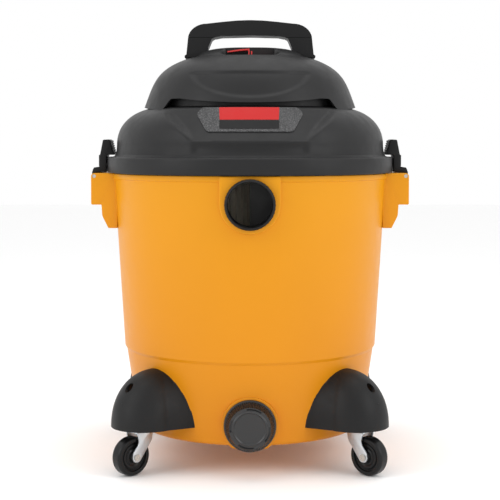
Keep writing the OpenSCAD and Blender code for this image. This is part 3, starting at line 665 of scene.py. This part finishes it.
def makeFork(corner):
    c = caster
    s, u, top = c["swivelU"], c["swivelU"] + c["trail"], c["forkTop"]
    leg = outline([(s - 11, top, 2), (s + 14, top, 2), (s + 14, top - 5, 4),
                   (s + 11.5, 43, 9), (u + 5.4, 31.5, 7), (u + 6.6, 24, 5), (u + 4, 19, 5),
                   (u - 4.5, 18.6, 6), (s + 1, 32, 16), (s - 9.5, 45, 16)], steps=6)
    legs = [prism("leg", leg, low, low + c["forkT"], 0.45, 2)
            for low in (-c["forkHalf"], c["forkHalf"] - c["forkT"])]
    hole = alongY(rod("hole", c["axleHole"], -30, 30), u, 0, c["wheelR"])
    crown = prism("crown", [(x, y) for x, y in outline([
        (s - 17, -c["forkHalf"], 9), (s + 15, -c["forkHalf"], 5), (s + 15, c["forkHalf"], 5),
        (s - 17, c["forkHalf"], 9)], steps=6)], -top, -top + 2.5, 0.5, 2)
    place(crown, Matrix.Rotation(math.radians(-90), 4, "X"))
    bore = rod("bore", 6.05, 40, 70, 40)
    place(bore, Matrix.Translation((s * mm, 0, 0)))
    fork = combine(crown, legs)
    combine(fork, [hole, bore], "DIFFERENCE")
    place(fork, Matrix.Rotation(math.radians(corners[corner]), 4, "Z"))
    fork.name = "fork_" + corner + "Plate"
    finished(fork, "caster_" + corner, zinc, "zinc", "fork_" + corner)


for corner in corners:
    makeFoot(corner)
    makeWheel(corner)
    makeFork(corner)
print("feet and casters made")


# Latches

latch = {"half": 20, "teeth": 6}


def makeLatch(side):
    k = latch
    points = outline([
        (201, 393, 0.8), (219.4, 393, 1.0), (219.4, 396, 2), (217.6, 399.6, 1.0), (210, 400.8, 1),
        (209.6, 416, 0.8), (208.6, 419, 1), (204.8, 438.3, 1.6), (196.5, 438.8, 1.6),
        (195, 434, 1.2), (191.6, 421, 1.0), (190, 420, 0.6), (190, 417.2, 0.6),
        (200.3, 417.2, 0.8), (200.3, 399, 0.8)], steps=4)
    plate = prism("plate", points, -k["half"], k["half"], 0.9, 2)
    knuckle = prism("knuckle", outline([
        (209.5, 383, 5.5), (221.2, 381.8, 5.8), (221.2, 394.4, 1), (209.5, 394.4, 0)], steps=6),
        -12, 12, 0.6, 2)
    combine(plate, [knuckle])
    hole = alongY(rod("hole", tank["pinHole"], -30, 30, 24), tank["pinX"], 0, tank["pinZ"])
    combine(plate, [hole], "DIFFERENCE")
    teeth = rods("teeth", rodRow, blackPlastic, count=k["teeth"],
                 row_step=(0.8 * mm, 0, 3.1 * mm), rod_radius=1.55 * mm,
                 rod_length=2 * (k["half"] - 2) * mm, rod_sides=8, rod_turn=(math.pi / 2, 0, 0))
    place(teeth, Matrix.Translation((191.3 * mm, 0, 420.6 * mm)))
    ribs = [block("rib", (208.6, y - 1.2, 401.5), (211, y + 1.2, 417), 0.5)
            for y in (-15, -5, 5, 15)]
    piece = join("latch_" + side + "Lever", [plate, teeth] + ribs)
    if side == "left":
        place(piece, Matrix.Scale(-1, 4, (1, 0, 0)))
    finished(piece, "latch_" + side, blackPlastic, "black_plastic", "latch_" + side)


makeLatch("left")
makeLatch("right")
print("latches made")


# Lid

lid = {"rimR": 199, "rimLow": 393, "rimTop": 415, "wellR": 84, "floorZ": 405, "deckZ": 482,
       "wall": 3, "panelFootR": 187.2, "panelFootZ": 434, "panelSlope": 0.83}


def fromFront(angle):
    # degrees away from the front, 0 to 180
    turned = (math.degrees(angle) + 90) % 360
    return min(turned, 360 - turned)


def domeRadius(z):
    # the head's round shoulder: a straight wall, then a quarter of an oval
    wallTop, top = 430, 483.5
    if z <= wallTop:
        return mix(187.5, 186.3, (z - 418) / (wallTop - 418))
    t = min(1, (z - wallTop) / (top - wallTop))
    return 120 + 66.3 * (1 - t ** 2.25) ** (1 / 2.1)


def panelRadius(z):
    # the sloping panel on the lid's front
    return lid["panelFootR"] - (z - lid["panelFootZ"]) * lid["panelSlope"]


def lidProfile(angle):
    k = lid
    away = fromFront(angle)
    rows = 40
    points = []
    ledge = k["panelFootZ"] + 1.8 * (min(away, 26) / 24) ** 2
    for i in range(rows + 1):
        z = mix(418, k["deckZ"], i / rows)
        r = domeRadius(z)
        edge = 22.7 + 25.3 * max(0, (z - 426.4) / 53.6) ** 1.75
        inside = 1 - smoothstep(edge - 1.3, edge + 1.1, away)
        flat = panelRadius(z)
        flat = min(r, max(flat, 140)) if z > ledge else r
        band = 2.3 * math.sin(math.pi * min(1, max(0, (z - 418) / (ledge - 418)))) if z < ledge else 0
        r = mix(r, min(flat, r) - band, inside)
        points.append((r, z))
    points[-1] = (points[-1][0] - 2, k["deckZ"])
    return points


def makeLid():
    k = lid
    low, top, w = k["rimLow"], k["rimTop"], k["wall"]
    segments = 360
    rings = []
    head = outline([(192.5, 398, 0), (187.5, 398, 0), (187.5, top - w, 0),
                    (k["rimR"] - w, top - w, 0), (k["rimR"] - w, low, 0.4), (k["rimR"], low, 0.8),
                    (k["rimR"] - 0.3, top, 3.6), (190.5, top, 1.5), (188.2, 418, 2.5),
                    (187.5, 420, 0)], closed=False)
    for i in range(segments):
        angle = 2 * math.pi * i / segments
        dome = lidProfile(angle)
        profile = head[:-1] + dome
        well = outline([(140, k["deckZ"], 0), (k["wellR"], k["deckZ"], 1.5),
                        (k["wellR"], k["floorZ"] + w, 2), (31, k["floorZ"] + w, 0.8),
                        (31, k["floorZ"], 0.8), (k["wellR"] + w, k["floorZ"], 2),
                        (k["wellR"] + w, k["deckZ"] - w, 1), (130, k["deckZ"] - w, 0)],
                       closed=False, steps=3)
        inner = [(r - w, z - 1.4) for r, z in reversed(dome[1:-1])]
        profile = profile + well + inner + [(184.5, 415), (184.5, 395), (192.5, 395)]
        rings.append([(r * math.cos(angle), r * math.sin(angle), z) for r, z in profile])
    body = ringMesh("lid", rings, wrap=True, loop=True, sharpAngle=38)
    duct = alongY(lathe("duct", outline([(31, 0, 0), (33.4, 0, 0), (33.4, 105, 0.6),
                                         (31, 105, 0.4)]), 96), 0, 86, port["exhaustZ"], front=False)
    cut = alongY(rod("cut", 31, 0, 130, 96), 0, 75, port["exhaustZ"], front=False)
    notches = [block("notch", (min(s * 188.8, s * 230), -22, 380),
                     (max(s * 188.8, s * 230), 22, 440)) for s in (-1, 1)]
    walls = [block("wall", (min(s * 186, s * 196.2), y - 1.5, 395.5),
                   (max(s * 186, s * 196.2), y + 1.5, 414)) for s in (-1, 1) for y in (-23.5, 23.5)]
    combine(body, notches + [cut], "DIFFERENCE", 38)
    ring = lathe("ring", [(130, k["deckZ"] - 1), (132, k["deckZ"] - 1), (132, 497), (130, 497)], 128)
    piece = join("lidShell", [body, duct, ring] + walls)
    finished(piece, "head", charcoalPlastic, "charcoal_plastic", "lid")


makeLid()
print("lid made")


# Name plate, lying on the lid's flat front panel

plate = {"low": 447.5, "high": 479, "halfLow": 54, "halfHigh": 69}


def panelPoint(x, z, lift):
    # the lid's front panel at this place, lifted off along its slope
    r = panelRadius(z)
    angle = math.asin(x / r)
    r += lift * 0.77
    return (r * math.sin(angle), -r * math.cos(angle), z + lift * 0.64)


def patch(name, points, low, high, material, slotName, *replaced):
    # a plate with this outline in x and z, wrapped on the panel from one lift to the other
    work = bmesh.new()
    ring = [work.verts.new((x * mm, 0, z * mm)) for x, z in points]
    work.faces.new(ring)
    for axis, count in (("x", 16), ("z", 6)):
        index = 0 if axis == "x" else 2
        spread = [v.co[index] for v in work.verts]
        for i in range(1, count):
            where = mix(min(spread), max(spread), i / count)
            normal = Vector((1, 0, 0)) if axis == "x" else Vector((0, 0, 1))
            bmesh.ops.bisect_plane(work, geom=work.verts[:] + work.edges[:] + work.faces[:],
                                   plane_co=normal * where, plane_no=normal)
    mesh = bpy.data.meshes.new(name)
    work.to_mesh(mesh)
    work.free()
    flat = [(v.co.x / mm, v.co.z / mm) for v in mesh.vertices]
    count = len(flat)
    top = [tuple(p.vertices) for p in mesh.polygons]
    edgeUse = {}
    for face in top:
        for a, b in zip(face, face[1:] + face[:1]):
            edgeUse[(a, b)] = True
    rim = [(a, b) for a, b in edgeUse if (b, a) not in edgeUse]
    verts = [panelPoint(x, z, high) for x, z in flat] + [panelPoint(x, z, low) for x, z in flat]
    faces = top + [tuple(count + v for v in reversed(face)) for face in top]
    faces += [(b, a, count + a, count + b) for a, b in rim]
    thing = meshObject(name, verts, faces, 40)
    finished(thing, "head", material, slotName, *replaced)


patch("namePlate", outline([
    (-plate["halfLow"] - 1, plate["low"], 6), (plate["halfLow"] + 1, plate["low"], 6),
    (plate["halfHigh"], plate["high"] - 8, 6), (plate["halfHigh"] - 8, plate["high"], 5),
    (-plate["halfHigh"] + 8, plate["high"], 5), (-plate["halfHigh"], plate["high"] - 8, 6)]),
    -0.6, 1.3, granite, "granite_plate", "name_plate")
patch("platePanelRed", outline([
    (-38.5, 462.5, 0.8), (36.5, 462.5, 0.8), (37.5, 478.6, 0.8), (-39.5, 478.6, 0.8)], steps=3),
    1.25, 1.75, labelRed, "red_plastic")
patch("platePanelDark", outline([
    (-39.0, 451, 1.5), (37, 451, 1.5), (37, 461.8, 0.8), (-39, 461.8, 0.8)], steps=3),
    1.25, 1.6, labelDark, "black_plastic")
print("name plate made")


# Top cover

cover = {"topZ": 552, "wall": 3}


def coverRadius(z):
    # the cover's side: a leaning wall that rounds over into the flat top
    t = min(1, max(0, (z - 478) / (cover["topZ"] - 478)))
    return 149.5 - 27 * t - 38 * t ** 5.2


def coverEdge(away):
    # height of the cover's lower edge: it arches up between the shoulders at the sides
    d = min(away, 180 - away)
    front = 486.2 + 6.2 * (min(d, 40) / 40) ** 2
    side = mix(478.6, 483, smoothstep(52, 90, d))
    return mix(front, side, smoothstep(46.3, 51.8, d))


def coverPoint(angle, z, inset):
    away = fromFront(angle)
    r = coverRadius(z)
    if z < 528.6 and away < 60:
        across = r * math.sin(math.radians(away)) / 84
        lens = 1 - math.hypot(across, (528.6 - z) / 37.6)
        r -= 2.3 * smoothstep(0, 0.14, lens) * smoothstep(0, 4.5, 528.6 - z)
    return r - inset


def makeCover():
    k = cover
    segments = 360
    rows = 48
    rings = []
    for i in range(segments):
        angle = 2 * math.pi * i / segments
        low = coverEdge(fromFront(angle))
        outer, inner = [], []
        for j in range(rows + 1):
            t = j / rows
            z = mix(low, k["topZ"] - 1.2, 1 - (1 - t) ** 1.35)
            r = coverPoint(angle, z, 0)
            outer.append((r, z))
            inner.append((r - k["wall"], min(z, k["topZ"] - k["wall"] - 1.5)))
        lastR = outer[-1][0]
        profile = outer + [(lastR - 3.5, k["topZ"] - 0.25), (lastR - 9, k["topZ"]), (40, k["topZ"]),
                           (40, k["topZ"] - k["wall"])]
        profile += [(lastR - 9, k["topZ"] - k["wall"])] + list(reversed(inner))
        rings.append([(r * math.cos(angle), r * math.sin(angle), z) for r, z in profile])
    body = ringMesh("cover", rings, wrap=True, loop=True, sharpAngle=40)
    disc = lathe("disc", [(0, k["topZ"]), (41, k["topZ"]), (41, k["topZ"] - k["wall"]),
                          (0, k["topZ"] - k["wall"])], 128, closed=False)
    opening = block("opening", (-16, -47, 540), (16, -25, 560))
    combine(disc, [opening], "DIFFERENCE")
    boss = alongY(lathe("boss", outline([(8.1, 0, 0), (14, 0, 0), (14, 20, 1.2), (8.1, 20, 0.6)]), 64),
                  60, 114, 500, front=False)
    piece = join("coverShell", [body, disc, boss])
    finished(piece, "head", charcoalPlastic, "charcoal_plastic", "top_cover")


makeCover()
print("cover made")


# Handle

handle = {"depth": 20, "seam": 580, "topZ": 604, "baseZ": 552}


def handleOutline():
    h = handle
    out = [(-90.8, h["baseZ"], 0.6), (-90.8, 555, 1.0), (-88.4, 556.5, 0.8)]
    for i in range(11):
        a = math.radians(9 * i)
        out.append((-60 - 26.2 * math.cos(a), 577.5 + 21.6 * math.sin(a), 0))
    out += [(-38, 601.6, 60), (-18, 603.4, 90), (0, h["topZ"], 120)]
    return out + [(-x, z, r) for x, z, r in reversed(out[:-1])]


def gapOutline():
    half = [(-58.5, 540, 0), (-58, 566, 3), (-52.6, 579, 6), (-40, 581.8, 20), (0, 582.8, 60)]
    return half + [(-x, z, r) for x, z, r in reversed(half[:-1])]


def makeHandle():
    h = handle
    loop = outline(handleOutline(), steps=6)
    gap = outline(gapOutline(), steps=6)
    whole = prism("whole", loop, -h["depth"], h["depth"], 5.0, 5)
    hole = prism("hole", gap, -h["depth"] - 5, h["depth"] + 5)
    combine(whole, [hole], "DIFFERENCE")
    lower = whole.copy()
    lower.data = whole.data.copy()
    scene.collection.objects.link(lower)
    below = block("below", (-120, -40, 500), (120, 40, h["seam"] + 0.25))
    above = block("above", (-120, -40, h["seam"] - 0.25), (120, 40, 640))
    combine(whole, [below], "DIFFERENCE")
    combine(lower, [above], "DIFFERENCE")
    plateLow = block("plateLow", (-60, -h["depth"], h["baseZ"]), (60, h["depth"], 555))
    whole.name = "handleGripShell"
    finished(whole, "head", blackPlastic, "black_plastic", "handle_grip")
    finished(join("handleLegs", [lower, plateLow]), "head", blackPlastic, "black_plastic",
             "handle_lower")


makeHandle()
print("handle made")


# Saddle between the handle's legs, with the scoop for the switch

saddle = {"halfX": 77, "halfY": 58, "crest": 567, "base": 552, "scoopX": 39, "scoopY": -49, "scoopHalf": 17}


def saddleHeight(x, y):
    s = saddle
    reach = abs(x / s["halfX"]) ** 3.2 + abs(y / s["halfY"]) ** 2.4
    z = s["base"] + (s["crest"] - s["base"]) * max(0, 1 - reach) ** 0.62
    scoop = (x / s["scoopX"]) ** 2 + ((y - s["scoopY"]) / s["scoopHalf"]) ** 2
    return min(z, mix(z, 553.6, 1 - smoothstep(0.78, 1.1, scoop)))


def makeSaddle():
    s = saddle
    across, deep = 110, 84
    top, bottom = [], []
    for i in range(deep + 1):
        v = math.sin(math.pi / 2 * (2 * i / deep - 1))
        upper, under = [], []
        for j in range(across + 1):
            u = math.sin(math.pi / 2 * (2 * j / across - 1))
            x = s["halfX"] * u
            span = (1 - abs(u) ** 3.2) ** (1 / 2.4)
            y = s["halfY"] * v * span
            upper.append((x, y, saddleHeight(x, y)))
            under.append((x, y, s["base"] - 0.2))
        top.append(upper)
        bottom.append(under)
    rows = [bottom[0]] + top + [bottom[-1]]
    verts = [p for row in rows for p in row]
    n = across + 1
    faces = [(i * n + j, i * n + j + 1, (i + 1) * n + j + 1, (i + 1) * n + j)
             for i in range(len(rows) - 1) for j in range(across)]
    faces.append(tuple(list(range(n))[::-1]
                       + [(len(rows) - 1) * n + j for j in range(n)]))
    body = meshObject("saddle", verts, faces, 60)
    pockets = [block("pocket", (min(side * 57.6, side * 100), -20.4, 540),
                     (max(side * 57.6, side * 100), 20.4, 600)) for side in (-1, 1)]
    pockets.append(block("under", (-66, -20.4, 540), (66, 20.4, 555.3)))
    pockets.append(block("well", (-33.5, -45, 548), (33.5, -27, 575), 0))
    combine(body, pockets, "DIFFERENCE", 50)
    finished(body, "head", charcoalPlastic, "charcoal_plastic", "saddle")
    body.name = "saddleShell"


makeSaddle()


def makeRocker():
    top = outline([(-31, 557.4, 0.6), (-31, 559.3, 0.7), (-16, 561.6, 8), (-0.7, 562.9, 0.5),
                   (-0.7, 553.6, 0.3), (31, 553.2, 0.3), (31, 552.6, 0), (5, 552.6, 0),
                   (5, 547, 2), (-5, 547, 2), (-5, 553, 0.5), (-2.3, 553, 0.3),
                   (-2.3, 560.6, 0.6), (-14, 559.7, 6)], steps=4)
    rocker = prism("rockerKey", top, -43, -29, 0.5, 3)
    marker = block("marker", (1.3, -44.2, 552.8), (3.1, -42, 559.4), 0.3)
    piece = join("switchKey", [rocker, marker])
    finished(piece, "rocker", redPlastic, "red_plastic", "switch_rocker")


makeRocker()
print("saddle and switch made")


# Nodes that stay as they are get their finish here

finishes = {
    "inlet_deflector": darkInside, "drain_gasket": sealRubber, "foot_screws": brightSteel,
    "caster_stems": zinc, "latch_pins": brightSteel, "lid_gasket": sealRubber,
    "cover_screws": brightSteel, "handle_screws": brightSteel, "switch_body": blackPlastic,
    "cord_gland": sealRubber, "fan_housing": castMetal, "motor_seal": sealRubber,
    "motor_bracket": castMetal, "motor_screws": brightSteel, "impeller": castMetal,
    "motor_shaft": brightSteel, "armature": lamination, "commutator": copperWire,
    "cooling_fan": blackPlastic, "stator": lamination, "field_coils": copperWire,
    "end_bracket": castMetal, "lower_bearing": brightSteel, "upper_bearing": brightSteel,
    "brush_holders": brassMetal, "brushes": carbonBlock, "filter_cage": blackPlastic,
    "float_ball": whitePlastic, "filter_element": filterPaper, "filter_end_rings": sealRubber,
    "filter_retainer": blackPlastic}
for corner in corners:
    finishes["axle_" + corner] = brightSteel
for name, material in finishes.items():
    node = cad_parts[name]
    for slotIndex in range(len(node.material_slots)):
        node.material_slots[slotIndex].material = material
    if not node.material_slots:
        node.data.materials.append(material)
print("finishes set")


# Studio: pale floor, soft lights, camera at the viewer's height

studio = {"distance": 1.762, "eye": 0.4337, "lens": 90, "pitch": 2.6, "world": 1.0,
          "eyeLevel": 0.214}


def softLight(name, where, aim, size, power):
    data = bpy.data.lights.new(name, "AREA")
    data.shape = "RECTANGLE"
    data.size, data.size_y = size
    data.energy = power
    lamp = bpy.data.objects.new(name, data)
    lamp.location = where
    lamp.rotation_euler = (Vector(aim) - Vector(where)).to_track_quat("-Z", "Y").to_euler()
    scene.collection.objects.link(lamp)


def makeStudio():
    s = studio
    bpy.ops.mesh.primitive_plane_add(size=14, location=(0, 0, 0))
    floor = bpy.context.object
    floor.name = "floor"
    paper, tree, shader = nodesOf("paperFloor")
    shader.inputs["Base Color"].default_value = (0.96, 0.96, 0.96, 1)
    shader.inputs["Roughness"].default_value = 0.8
    floor.data.materials.append(paper)
    world = bpy.data.worlds.new("studioWorld")
    scene.world = world
    world.use_nodes = True
    world.node_tree.nodes["Background"].inputs["Color"].default_value = (1, 1, 1, 1)
    world.node_tree.nodes["Background"].inputs["Strength"].default_value = s["world"]
    softLight("keyLeft", (-1.7, -1.1, 1.15), (0, 0, 0.3), (0.7, 1.5), 12)
    softLight("keyRight", (1.7, -1.1, 1.15), (0, 0, 0.3), (0.7, 1.5), 12)
    softLight("top", (0, -0.1, 1.9), (0, 0, 0.5), (1.6, 1.1), 9)
    data = bpy.data.cameras.new("camera")
    data.lens = s["lens"]
    data.sensor_width = 36
    pitch = math.radians(s["pitch"])
    # the eye's level stands above the frame's middle by this share of its width
    data.shift_y = math.tan(pitch) * s["lens"] / data.sensor_width - s["eyeLevel"]
    camera = bpy.data.objects.new("camera", data)
    camera.location = (0, -s["distance"], s["eye"])
    camera.rotation_euler = (math.pi / 2 - pitch, 0, 0)
    scene.collection.objects.link(camera)
    scene.camera = camera
    scene.view_settings.view_transform = "Standard"


makeStudio()
print("studio made")
